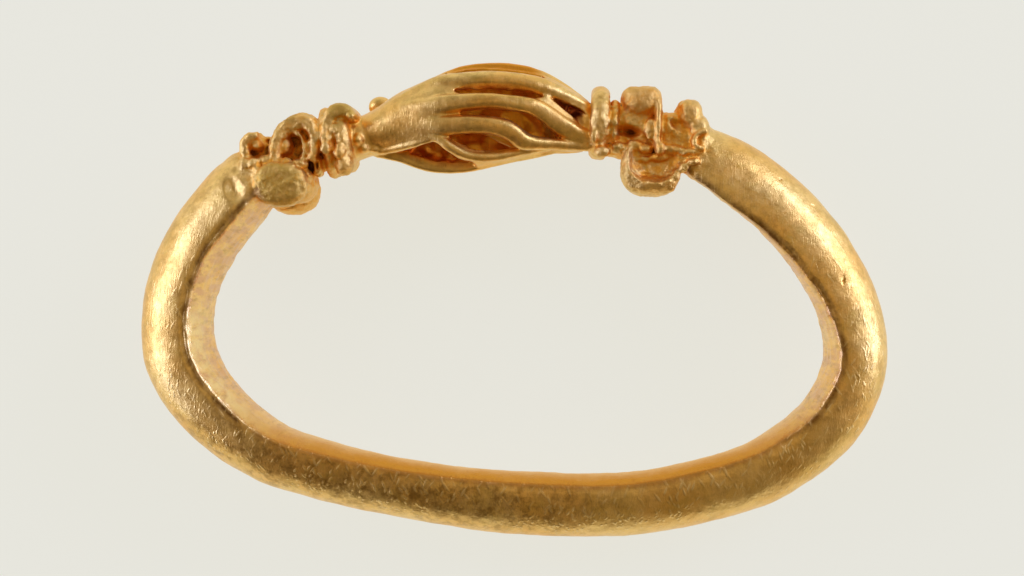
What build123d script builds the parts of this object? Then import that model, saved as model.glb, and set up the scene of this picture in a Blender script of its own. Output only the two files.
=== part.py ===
from build123d import *
import math
import os

os.makedirs("parts", exist_ok=True)

# A gold ring with two clasped hands, lying on its side: X runs across the finger opening, Y from
# the plain side of the hoop up to the hands, and Z along the finger. All lengths are millimetres.

# The whole ring, bent out of round into a low oval.
ring_length = 27.6
ring_height = 17.5

# The hoop: a half-round wire whose face towards the finger is slightly domed.
hoop_thickness = 2.3
hoop_width = 3.4
finger_face_dome = 0.32

# The necks, the round core that carries the scrolls and collars on each shoulder.
neck_thickness = 2.0
neck_width = 2.6

# The clasped hands, a hollow pod pierced between the fingers of the near hand.
hands_length = 8.5
hands_height = 3.8
hands_depth = 3.4
hands_wall = 0.45
hands_across = ring_length * -0.054
hands_up = ring_height * 0.386
finger_thickness = 0.66
wrist_gap = 0.3

# The collars, a pair of ridges at each end of the hands.
collar_height = 2.8
collar_depth = 3.1
ridge_length = 0.55
ridge_rounding = 0.2

# The scrolls, rolled strips that end in a deep eye.
scroll_width = 1.6
scroll_height = 1.95
scroll_depth = 2.7
scroll_rounding = 0.3
eye_depth = 0.8
bud_diameter = 0.52

# The pellets beside the scrolls, and the hollow leaf in place of one of them.
pellet_length = 2.0
pellet_height = 1.65
pellet_depth = 1.5
pellet_spread = 1.15
leaf_length = 2.3
leaf_height = 2.0
leaf_hollow = 0.75

# Slices of the hoop, from the left shoulder round the plain side to the right shoulder.
# across and up: shares of ring_length and ring_height from the middle of the ring.
# thick and wide: shares of hoop_thickness and hoop_width.
# lean: degrees by which the face towards the finger is turned to the near side.
HOOP = [
    # across, up, thick, wide, lean
    (-0.380, 0.219, 1.06, 1.03, 6),
    (-0.428, 0.119, 1.04, 1.03, 7),
    (-0.455, 0.000, 1.04, 1.02, 6),
    (-0.451, -0.126, 1.06, 1.01, 6),
    (-0.407, -0.233, 1.02, 1.00, 5),
    (-0.341, -0.312, 0.94, 0.99, 4),
    (-0.267, -0.354, 0.93, 0.97, 2),
    (-0.145, -0.397, 0.92, 0.95, 0),
    (0.000, -0.425, 0.99, 0.94, 0),
    (0.157, -0.427, 0.99, 0.95, 0),
    (0.290, -0.384, 1.00, 0.97, 0),
    (0.363, -0.331, 1.00, 0.99, 1),
    (0.426, -0.245, 1.00, 1.00, 2),
    (0.457, -0.127, 0.97, 1.01, 2),
    (0.444, 0.000, 0.99, 1.02, 0),
    (0.404, 0.112, 1.02, 1.03, -3),
    (0.354, 0.203, 1.02, 1.03, -6),
    (0.298, 0.272, 1.00, 1.03, -6),
]

# Slices of the two necks, each from the hands outwards to the hoop.
# out: shares of ring_length from the end of the hands; up: shares of ring_height.
# thick and wide: shares of neck_thickness and neck_width.
# dome: rise of the face towards the finger, as a share of the thickness, half of it where round.
LEFT_NECK = [
    # out, up, thick, wide, dome
    (-0.020, 0.352, 0.60, 0.74, 0.50),
    (0.016, 0.347, 0.80, 0.85, 0.50),
    (0.060, 0.327, 1.00, 1.00, 0.50),
    (0.105, 0.306, 1.00, 1.06, 0.42),
    (0.150, 0.260, 1.15, 1.22, 0.26),
]
RIGHT_NECK = [
    (-0.020, 0.366, 0.62, 0.74, 0.50),
    (0.012, 0.372, 0.95, 0.88, 0.50),
    (0.040, 0.363, 1.10, 0.96, 0.50),
    (0.085, 0.350, 1.05, 1.04, 0.42),
    (0.120, 0.338, 1.10, 1.12, 0.32),
    (0.158, 0.315, 1.13, 1.25, 0.20),
]

# Outline of the hands. along: share of hands_length from the left end. centre: shares of
# hands_height above the line of the wrists. tall and deep: shares of hands_height and hands_depth.
HANDS = [
    # along, centre, tall, deep
    (0.00, -0.165, 0.36, 0.50),
    (0.09, -0.095, 0.51, 0.65),
    (0.21, -0.040, 0.71, 0.82),
    (0.36, -0.020, 0.93, 0.95),
    (0.56, 0.035, 0.97, 1.00),
    (0.75, 0.055, 0.84, 0.93),
    (0.89, -0.010, 0.64, 0.76),
    (1.00, -0.105, 0.47, 0.55),
]

# Middle lines of the four fingers, index finger first. turn: degrees round the hands from their
# middle up towards the crest. size: shares of finger_thickness.
FINGERS = [
    # along, turn, size
    [
        (0.30, 42, 0.90),
        (0.45, 46, 0.85),
        (0.61, 49, 0.75),
        (0.77, 50, 0.75),
        (0.89, 47, 0.70),
        (1.00, 42, 0.55),
    ],
    [
        (0.30, 18, 1.00),
        (0.45, 17, 0.95),
        (0.61, 14, 0.90),
        (0.77, 10, 0.90),
        (0.89, 6, 0.80),
        (1.00, -3, 0.60),
    ],
    [
        (0.30, -8, 1.05),
        (0.45, -11, 1.10),
        (0.57, -17, 1.10),
        (0.68, -29, 0.95),
        (0.80, -42, 0.80),
        (0.99, -28, 0.55),
    ],
    [
        (0.28, -18, 0.75),
        (0.36, -34, 0.75),
        (0.45, -47, 0.75),
        (0.56, -52, 0.75),
        (0.67, -55, 0.70),
        (0.80, -58, 0.55),
    ],
]

# Gaps pierced between the fingers, each bounded by two arcs from its left tip to its right tip.
# across and up: shares of hands_length and hands_height from the middle of the hands.
GAPS = [
    # left tip, upper arc, right tip, lower arc
    [(-0.120, 0.270), (0.080, 0.345), (0.270, 0.235), (0.080, 0.210)],
    [(0.300, 0.205), (0.370, 0.190), (0.440, -0.010), (0.330, 0.090)],
    [(-0.100, 0.070), (0.140, 0.080), (0.320, -0.150), (0.130, -0.060)],
    [(-0.150, -0.150), (0.000, -0.110), (0.130, -0.280), (-0.030, -0.290)],
]

# The open side below the palm of the near hand, a triangle between palm, little finger and rim.
PALM_GAP = [
    (-0.390, -0.330),
    (-0.180, -0.175),
    (-0.090, -0.330),
    (0.010, -0.420),
    (-0.100, -0.600),
    (-0.390, -0.600),
]

# Ridges of the two collars. shift: shares of ridge_length from the middle of the collar.
# up: shares of ring_height; tall: shares of collar_height.
LEFT_RIDGES = [(-0.5, 0.3405, 1.00), (0.5, 0.347, 0.97)]
RIGHT_RIDGES = [(-0.37, 0.378, 1.00), (0.37, 0.379, 1.03)]
left_tilt = 8
right_tilt = -2

# Scrolls of the two shoulders, the larger one of each first.
# up: shares of ring_height. wide, tall, deep: shares of scroll_width, scroll_height, scroll_depth.
# eye_x, eye_y: middle of the eye; eye_w, eye_h: its size; all shares of the scroll's own size.
LEFT_SCROLLS = [
    # up, wide, tall, deep, eye_x, eye_y, eye_w, eye_h
    (0.335, 1.00, 1.00, 1.00, 0.02, -0.10, 0.52, 0.58),
    (0.324, 0.76, 0.66, 0.88, 0.12, 0.10, 0.52, 0.52),
]
RIGHT_SCROLLS = [
    (0.388, 0.95, 0.95, 1.00, -0.10, -0.20, 0.50, 0.42),
    (0.377, 0.60, 0.74, 0.90, -0.06, 0.05, 0.50, 0.50),
]

# Steps outwards along each shoulder, shares of scroll_width: from the collar to the larger scroll,
# from there to the smaller scroll, and from the larger scroll to the pellet or the leaf.
LEFT_STEPS = (0.56, 0.85, 0.20)
RIGHT_STEPS = (0.62, 1.10, 0.15)

# Heights of the pellets and of the leaf: shares of ring_height.
SIDE_HEIGHTS = (0.241, 0.272)


def headings(points):
    """The direction of a path at each of its points, taken from the points on either side."""
    last = len(points) - 1
    return [(points[min(i + 1, last)] - points[max(i - 1, 0)]).normalized() for i in range(last + 1)]


def slice_of_wire(place, heading, thick, wide, dome, lean):
    """A slice of the hoop or a neck: a round back, and a domed face towards the finger."""
    outward = heading.cross(Vector(0, 0, 1))
    plane = Plane(origin=place, x_dir=outward, z_dir=heading).rotated((0, 0, lean))
    edge = dome - thick / 2
    back = ThreePointArc((edge, -wide / 2), (thick / 2, 0), (edge, wide / 2))
    face = ThreePointArc((edge, wide / 2), (-thick / 2, 0), (edge, -wide / 2))
    return plane * make_face([back, face])


def neck_slices(rows, end, side):
    """Place, thickness, width, dome and lean of each slice of one neck, from the hands outwards."""
    slices = []
    for out, up, thick, wide, dome in rows:
        place = Vector(end + side * out * ring_length, up * ring_height)
        thick = thick * neck_thickness
        slices.append((place, thick, wide * neck_width, dome * thick, 0))
    return slices


def wire_slices():
    """Every slice of the wire, from the left end of the hands round the finger to the right end."""
    left = neck_slices(LEFT_NECK, hands_left, -1)
    right = neck_slices(RIGHT_NECK, hands_right, 1)
    hoop = []
    for across, up, thick, wide, lean in HOOP:
        place = Vector(across * ring_length, up * ring_height)
        hoop.append((place, thick * hoop_thickness, wide * hoop_width, finger_face_dome, lean))
    slices = left + hoop + right[::-1]
    directions = headings([place for place, *sizes in slices])
    return [slice_of_wire(place, way, *sizes) for (place, *sizes), way in zip(slices, directions)]


def hands_at(along):
    """Height of the middle, half height and half depth of the hands at a share of their length."""
    for (a0, *low), (a1, *high) in zip(HANDS, HANDS[1:]):
        if along <= a1:
            part = (along - a0) / (a1 - a0)
            break
    centre, tall, deep = [a + part * (b - a) for a, b in zip(low, high)]
    return hands_up + centre * hands_height, tall * hands_height / 2, deep * hands_depth / 2


def hands_form(inset, rows):
    """The outer form of the hands, or, inset by the wall, the hollow inside them."""
    sections = []
    for along, centre, tall, deep in rows:
        place = Vector(hands_left + along * hands_length, hands_up + centre * hands_height)
        plane = Plane(origin=place, x_dir=(0, 1, 0), z_dir=(1, 0, 0))
        oval = Ellipse(tall * hands_height / 2 - inset, deep * hands_depth / 2 - inset)
        sections.append(plane * oval)
    return loft(sections)


def finger(rows, side):
    """One finger of the near hand (side 1), or of the far hand, which points the other way."""
    centres = []
    for along, turn, size in rows:
        share = along if side > 0 else 1 - along
        middle, half_height, half_depth = hands_at(share)
        sunk = finger_sink * size
        centres.append(Vector(
            hands_left + share * hands_length,
            middle + (half_height - sunk) * math.sin(math.radians(turn)),
            side * (half_depth - sunk) * math.cos(math.radians(turn)),
        ))
    rounds = []
    for (along, turn, size), centre, way in zip(rows, centres, headings(centres)):
        rounds.append(Plane(origin=centre, z_dir=way) * Circle(size * finger_thickness / 2))
    return loft(rounds)


def pierced(outline):
    """A prism that cuts the near wall of the hands, from the hollow outwards."""
    return extrude(Plane.XY.offset(finger_sink) * outline, amount=hands_depth)


def hands_point(across, up):
    """A point on the near side of the hands, from shares of their length and height."""
    return (hands_across + across * hands_length, hands_up + up * hands_height)


def clasped_hands():
    """Two hands in a hollow pod: pierced and open below on the near side, closed on the far side."""
    pod = hands_form(0, HANDS) - hands_form(hands_wall, HANDS[2:-1])
    for gap in GAPS:
        left_tip, top, right_tip, bottom = [hands_point(*corner) for corner in gap]
        arcs = [ThreePointArc(left_tip, top, right_tip), ThreePointArc(right_tip, bottom, left_tip)]
        pod -= pierced(make_face(arcs))
    pod -= pierced(make_face(Polyline([hands_point(*corner) for corner in PALM_GAP], close=True)))
    for rows in FINGERS:
        pod += finger(rows, 1)
        pod += finger(rows, -1)
    return pod


def rounded_oval(width, height, depth, rounding):
    """An upright oval plate, its depth along Z, with both rims rounded."""
    plate = extrude(Ellipse(width / 2, height / 2), amount=depth / 2, both=True)
    rims = plate.edges().filter_by(GeomType.ELLIPSE)
    return fillet(rims, rounding)


def ridge(across, up, tilt, height_share):
    """One ridge of a collar, an oval disc threaded on the neck."""
    disc = rounded_oval(collar_depth, collar_height * height_share, ridge_length, ridge_rounding)
    upright = Rotation(0, 90, 0) * disc
    return Pos(across, up, 0) * Rotation(0, 0, tilt) * upright


def rolled(across, up, wide, tall, deep, *eye):
    """A rolled strip, still without its eye."""
    sizes = (wide * scroll_width, tall * scroll_height, deep * scroll_depth)
    return Pos(across, up * ring_height) * rounded_oval(*sizes, scroll_rounding * wide)


def eyes(across, up, wide, tall, deep, eye_x, eye_y, eye_w, eye_h):
    """The eye of a scroll, sunk from both sides round the bud in which the strip ends."""
    width, height, depth = wide * scroll_width, tall * scroll_height, deep * scroll_depth
    mouth = Ellipse(eye_w * width / 2, eye_h * height / 2)
    mouth -= Pos(-eye_w * width / 2, 0) * Circle(bud_diameter * wide / 2)
    middle = Pos(across + eye_x * width, up * ring_height + eye_y * height, depth / 2 - eye_depth * deep)
    near = extrude(middle * mouth, amount=depth)
    return near + mirror(near, Plane.XY)


def scrolled(shoulder, places, rows):
    """A shoulder with its scrolls rolled up on it, and then with their eyes sunk."""
    scrolls = [(across, *row) for across, row in zip(places, rows)]
    for each in scrolls:
        shoulder += rolled(*each)
    for each in scrolls:
        shoulder -= eyes(*each)
    return shoulder


def egg(length, height, depth):
    """An egg-shaped lump with the given three diameters."""
    return scale(Sphere(0.5), by=(length, height, depth))


def collared(neck, collar, rows, tilt):
    """A neck with the two ridges of its collar."""
    for shift, up, tall in rows:
        neck += ridge(collar + shift * ridge_length, up * ring_height, tilt, tall)
    return neck


def left_shoulder(neck):
    """The left neck with its collar, its two scrolls and a pellet on each side."""
    shoulder = collared(neck, left_collar, LEFT_RIDGES, left_tilt)
    shoulder = scrolled(shoulder, (left_scroll, left_small_scroll), LEFT_SCROLLS)
    near = Pos(left_pellet, pellet_up, pellet_spread) * egg(pellet_length, pellet_height, pellet_depth)
    return shoulder + near + mirror(near, Plane.XY)


def right_shoulder(neck):
    """The right neck with its collar, its two scrolls, the hollow leaf and a pellet behind it."""
    shoulder = collared(neck, right_collar, RIGHT_RIDGES, right_tilt)
    shoulder = scrolled(shoulder, (right_scroll, right_small_scroll), RIGHT_SCROLLS)
    shoulder += Pos(right_leaf, leaf_up, -pellet_spread) * egg(leaf_length, leaf_height, pellet_depth)
    shoulder += Pos(right_leaf, leaf_up, pellet_spread) * egg(leaf_length, leaf_height, pellet_depth)
    bowl = egg(leaf_length - hands_wall, leaf_height - hands_wall, leaf_hollow * 2)
    return shoulder - Pos(right_leaf, leaf_up, pellet_spread + pellet_depth / 2) * bowl


# What follows from the sizes above.
hands_left = hands_across - hands_length / 2
hands_right = hands_across + hands_length / 2
finger_sink = finger_thickness * 0.2

pellet_up, leaf_up = [ring_height * share for share in SIDE_HEIGHTS]

# Places on the left shoulder, from the hands outwards.
to_scroll, to_small_scroll, to_pellet = [scroll_width * share for share in LEFT_STEPS]
left_collar = hands_left - wrist_gap - ridge_length
left_scroll = left_collar - ridge_length - to_scroll
left_small_scroll = left_scroll - to_small_scroll
left_pellet = left_scroll - to_pellet

# Places on the right shoulder, from the hands outwards.
to_scroll, to_small_scroll, to_leaf = [scroll_width * share for share in RIGHT_STEPS]
right_collar = hands_right + ridge_length * 0.75
right_scroll = right_collar + ridge_length + to_scroll
right_small_scroll = right_scroll + to_small_scroll
right_leaf = right_scroll + to_leaf

slices = wire_slices()
hoop_start = len(LEFT_NECK)
hoop_end = hoop_start + len(HOOP)
left_neck = loft(slices[:hoop_start + 1])
hoop = loft(slices[hoop_start:hoop_end])
right_neck = loft(slices[hoop_end - 1:])

ring = left_shoulder(left_neck) + clasped_hands()
ring += right_shoulder(right_neck)
ring += hoop

box = ring.bounding_box()
ring = Pos(-box.center().X, -box.center().Y, -box.min.Z) * ring
print("size", box.size, "moved by", -box.center().X, -box.center().Y, -box.min.Z)
print("solids", len(ring.solids()), "volume", ring.volume)

export_step(ring, "parts/ring.step")
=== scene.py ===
import math

import bmesh
import bpy
from mathutils import Matrix, Quaternion, Vector, noise
from mathutils.bvhtree import BVHTree
from mathutils.kdtree import KDTree


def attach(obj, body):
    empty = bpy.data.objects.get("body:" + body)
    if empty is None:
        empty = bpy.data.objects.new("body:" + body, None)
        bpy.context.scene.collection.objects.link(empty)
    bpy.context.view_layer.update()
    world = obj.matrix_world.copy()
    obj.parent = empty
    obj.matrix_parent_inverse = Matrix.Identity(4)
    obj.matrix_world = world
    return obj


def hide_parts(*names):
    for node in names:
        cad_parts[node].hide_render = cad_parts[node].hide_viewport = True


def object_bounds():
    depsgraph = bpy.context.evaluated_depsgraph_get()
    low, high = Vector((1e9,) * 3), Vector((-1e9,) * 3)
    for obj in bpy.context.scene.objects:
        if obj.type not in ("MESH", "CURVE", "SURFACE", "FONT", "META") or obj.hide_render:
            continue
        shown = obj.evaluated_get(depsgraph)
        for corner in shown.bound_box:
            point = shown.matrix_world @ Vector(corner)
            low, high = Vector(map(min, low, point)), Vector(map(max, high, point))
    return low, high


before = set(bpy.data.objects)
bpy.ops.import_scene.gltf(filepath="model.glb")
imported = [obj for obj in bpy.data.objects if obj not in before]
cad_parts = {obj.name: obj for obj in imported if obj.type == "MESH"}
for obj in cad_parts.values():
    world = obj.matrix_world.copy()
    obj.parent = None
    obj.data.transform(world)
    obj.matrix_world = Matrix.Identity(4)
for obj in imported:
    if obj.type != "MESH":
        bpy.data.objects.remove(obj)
cad_low, cad_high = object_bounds()

# The hoop: a half-round wire of high-carat gold, bent out of round into a low oval. Its face
# towards the finger is slightly domed and meets the round back in a soft worn edge.
# All forms are worked in millimetres about the middle of the ring, and made metres at the end.
MM = 0.001
along_finger = Vector((0, 0, 1))
ring_middle = Vector((0.05, -0.03, (cad_high.z - cad_low.z) / 2 / MM))
HOOP = [
    # x, y, thick, wide, lean of the inner face towards the near side in degrees, its dome
    (-9.18, 5.10, 1.20, 2.30, 0, 0.32),
    (-9.40, 4.92, 1.85, 2.75, 1, 0.32),
    (-9.68, 4.66, 2.22, 3.10, 3, 0.32),
    (-10.05, 4.30, 2.32, 3.30, 5, 0.32),
    (-10.49, 3.83, 2.45, 3.50, 6, 0.32),
    (-11.80, 2.08, 2.40, 3.50, 7, 0.32),
    (-12.56, 0.00, 2.40, 3.47, 6, 0.32),
    (-12.45, -2.20, 2.44, 3.43, 6, 0.32),
    (-11.22, -4.07, 2.34, 3.40, 5, 0.32),
    (-9.41, -5.45, 2.17, 3.37, 4, 0.32),
    (-7.38, -6.19, 2.13, 3.30, 2, 0.32),
    (-4.01, -6.94, 2.12, 3.23, 0, 0.32),
    (0.00, -7.44, 2.28, 3.20, 0, 0.32),
    (4.32, -7.48, 2.28, 3.23, 0, 0.32),
    (8.01, -6.72, 2.30, 3.30, 0, 0.32),
    (10.02, -5.79, 2.31, 3.37, 1, 0.32),
    (11.76, -4.28, 2.30, 3.40, 2, 0.32),
    (12.61, -2.22, 2.24, 3.43, 2, 0.32),
    (12.25, 0.00, 2.28, 3.47, -1, 0.28),
    (11.14, 1.96, 2.35, 3.50, -4, 0.24),
    (9.76, 3.55, 2.34, 3.50, -7, 0.18),
    (8.22, 4.77, 2.26, 3.45, -8, 0.12),
    (7.45, 5.23, 2.06, 3.30, -8, 0.10),
    (6.80, 5.55, 1.90, 3.00, -7, 0.10),
    (6.40, 5.74, 1.60, 2.75, -5, 0.10),
    (6.15, 5.84, 1.10, 2.40, -3, 0.10),
]


def eased(rows, steps, closed=False):
    """The rows of a table with steps between them, eased so that they run on smoothly."""
    count = len(rows)
    spans = count if closed else count - 1
    finer = []
    for i in range(spans):
        near = []
        for k in range(i - 1, i + 3):
            near.append(rows[k % count if closed else min(max(k, 0), count - 1)])
        for step in range(steps):
            t = step / steps
            finer.append(tuple(
                b + 0.5 * t * (c - a + t * (2 * a - 5 * b + 4 * c - d + t * (3 * (b - c) + d - a)))
                for a, b, c, d in zip(*near)
            ))
    return finer if closed else finer + [tuple(rows[-1])]


def ways(places):
    """The direction of a course at each of its places."""
    last = len(places) - 1
    return [(places[min(i + 1, last)] - places[max(i - 1, 0)]).normalized() for i in range(last + 1)]


def flat_ways(rows):
    """The direction, at each row, of a course whose rows begin with x and y."""
    return ways([Vector((row[0], row[1], 0)) for row in rows])


def sweep(rows, segments=48, square=2.0, headings=None):
    """A closed bar through rows of place, outward direction, half size out, half size in, half side."""
    bm = bmesh.new()
    places = [row[0] for row in rows]
    before = None
    for (place, out, half_out, half_in, half_side), way in zip(rows, headings or ways(places)):
        side = way.cross(out).normalized()
        out = side.cross(way)
        loop = bmesh.ops.create_circle(bm, segments=segments, radius=1)["verts"]
        for vert in loop:
            x, y = (math.copysign(abs(c) ** (2 / square), c) for c in vert.co.xy)
            vert.co = place + out * (x * (half_out if x > 0 else half_in)) + side * (y * half_side)
        edges = list({edge for vert in loop for edge in vert.link_edges})
        if before is None:
            bmesh.ops.contextual_create(bm, geom=edges)
        else:
            bmesh.ops.bridge_loops(bm, edges=before + edges)
        before = edges
    bmesh.ops.contextual_create(bm, geom=before)
    return bm


forms = []


def put(bm):
    """Keep a finished form for the casting."""
    bmesh.ops.recalc_face_normals(bm, faces=bm.faces)
    mesh = bpy.data.meshes.new("form")
    bm.to_mesh(mesh)
    bm.free()
    forms.append(mesh)


hoop_steps = 10
hoop_course = eased(HOOP, hoop_steps)
hoop_ways = flat_ways(hoop_course)
hoop_rows = []
hoop_sides = []
for (x, y, thick, wide, lean, dome), way in zip(hoop_course, hoop_ways):
    out = Quaternion(way, math.radians(lean)) @ way.cross(along_finger)
    place = Vector((x, y, 0)) + out * (dome - thick / 2)
    hoop_rows.append((place, out, thick - dome, dome, wide / 2))
    hoop_sides.append(way.cross(out))
put(sweep(hoop_rows, segments=64, headings=hoop_ways))

# The necks: the round core of each shoulder, soldered to the hoop's end, that carries the collar,
# the scrolls and the pellets, and runs on into the wrist of a hand.
NECKS = [
    [
        # x, y, half thick, half wide
        (-5.00, 6.15, 0.62, 0.80),
        (-6.20, 6.00, 0.85, 1.05),
        (-6.75, 5.90, 0.90, 1.05),
        (-7.40, 5.60, 0.85, 0.85),
        (-8.20, 5.20, 0.80, 0.70),
        (-9.00, 4.98, 0.85, 0.80),
        (-9.60, 4.72, 0.85, 1.05),
        (-10.00, 4.35, 0.70, 1.00),
    ],
    [
        (2.00, 6.38, 0.60, 0.80),
        (2.75, 6.45, 0.85, 0.95),
        (3.40, 6.40, 0.98, 1.00),
        (4.10, 6.25, 1.00, 0.95),
        (5.00, 6.05, 1.02, 0.95),
        (6.00, 5.90, 1.02, 1.10),
        (6.80, 5.60, 0.95, 1.20),
        (7.30, 5.30, 0.75, 1.10),
    ],
]
course_steps = 6


def flat_bar(rows, segments=48, square=2.0):
    """A bar whose rows are x, y, half thickness and half width, laid in the plane of the ring."""
    swept = []
    for (x, y, half_thick, half_wide), way in zip(rows, flat_ways(rows)):
        swept.append((Vector((x, y, 0)), way.cross(along_finger), half_thick, half_thick, half_wide))
    return sweep(swept, segments, square)


for neck in NECKS:
    put(flat_bar(eased(neck, course_steps)))

# The collars: bands round each neck where a hand begins, cast with it and worn into one another.
COLLARS = [
    # x, y, half tall, half deep, tilt in degrees, half length, half thickness
    (-6.86, 5.86, 1.33, 1.50, 8, 0.22, 0.24),
    (-6.56, 5.92, 1.24, 1.38, 8, 0.24, 0.24),
    (-6.26, 6.02, 1.24, 1.46, 10, 0.26, 0.28),
    (3.08, 6.62, 1.36, 1.52, -3, 0.35, 0.20),
    (3.62, 6.50, 0.98, 1.36, -3, 0.17, 0.18),
]
for x, y, half_tall, half_deep, tilt, half_length, half_thick in COLLARS:
    ridge = bmesh.new()
    wire = bmesh.ops.create_circle(ridge, segments=20, radius=half_thick)["verts"]
    bmesh.ops.scale(ridge, verts=wire, vec=(half_length / half_thick, 1, 1))
    bmesh.ops.translate(ridge, verts=wire, vec=(0, 1 - half_thick, 0))
    edges = list({edge for vert in wire for edge in vert.link_edges})
    bmesh.ops.spin(
        ridge, geom=wire + edges, axis=(1, 0, 0), cent=(0, 0, 0), angle=math.tau, steps=64, use_merge=True
    )
    bmesh.ops.scale(ridge, verts=ridge.verts, vec=(1, half_tall, half_deep))
    bmesh.ops.rotate(ridge, verts=ridge.verts, matrix=Matrix.Rotation(math.radians(tilt), 3, "Z"))
    bmesh.ops.translate(ridge, verts=ridge.verts, vec=(x, y, 0))
    put(ridge)

# The scrolls: strips of gold rolled up on the back of each shoulder round a deep eye, with a bud
# in the eye. Those of the left shoulder are open; those of the right are nearly closed by wear.
STRIPS = [
    # half depth, then x, y and half thickness along the strip
    (1.36, [
        (-8.70, 5.05, 0.24), (-8.73, 5.50, 0.26), (-8.62, 5.98, 0.28),
        (-8.32, 6.36, 0.32), (-7.90, 6.56, 0.35), (-7.50, 6.46, 0.33),
        (-7.31, 6.10, 0.26), (-7.31, 5.62, 0.22), (-7.42, 5.15, 0.22),
    ]),
    (1.28, [
        (-8.10, 6.20, 0.12), (-7.86, 6.10, 0.11), (-7.70, 5.86, 0.10),
        (-7.66, 5.54, 0.10), (-7.74, 5.22, 0.11),
    ]),
    (1.18, [
        (-9.66, 5.10, 0.20), (-9.86, 5.45, 0.22), (-9.86, 5.78, 0.23),
        (-9.66, 6.01, 0.22), (-9.38, 6.07, 0.16),
    ]),
    (1.32, [
        (-6.82, 6.20, 0.22), (-6.80, 6.62, 0.27), (-6.60, 6.92, 0.31),
        (-6.28, 6.98, 0.30), (-6.02, 6.86, 0.24), (-5.86, 6.66, 0.16),
    ]),
    (1.46, [
        (5.16, 7.40, 0.14), (5.22, 6.97, 0.14), (5.20, 6.25, 0.13), (5.16, 5.66, 0.12),
    ]),
    (1.50, [
        (6.96, 6.22, 0.12), (6.66, 6.12, 0.13), (6.50, 5.88, 0.13),
        (6.58, 5.65, 0.13), (6.86, 5.58, 0.12),
    ]),
]
for half_depth, strip in STRIPS:
    rows = [(*row, half_depth) for row in eased(strip, course_steps)]
    put(flat_bar(rows, segments=32, square=4.0))

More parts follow.
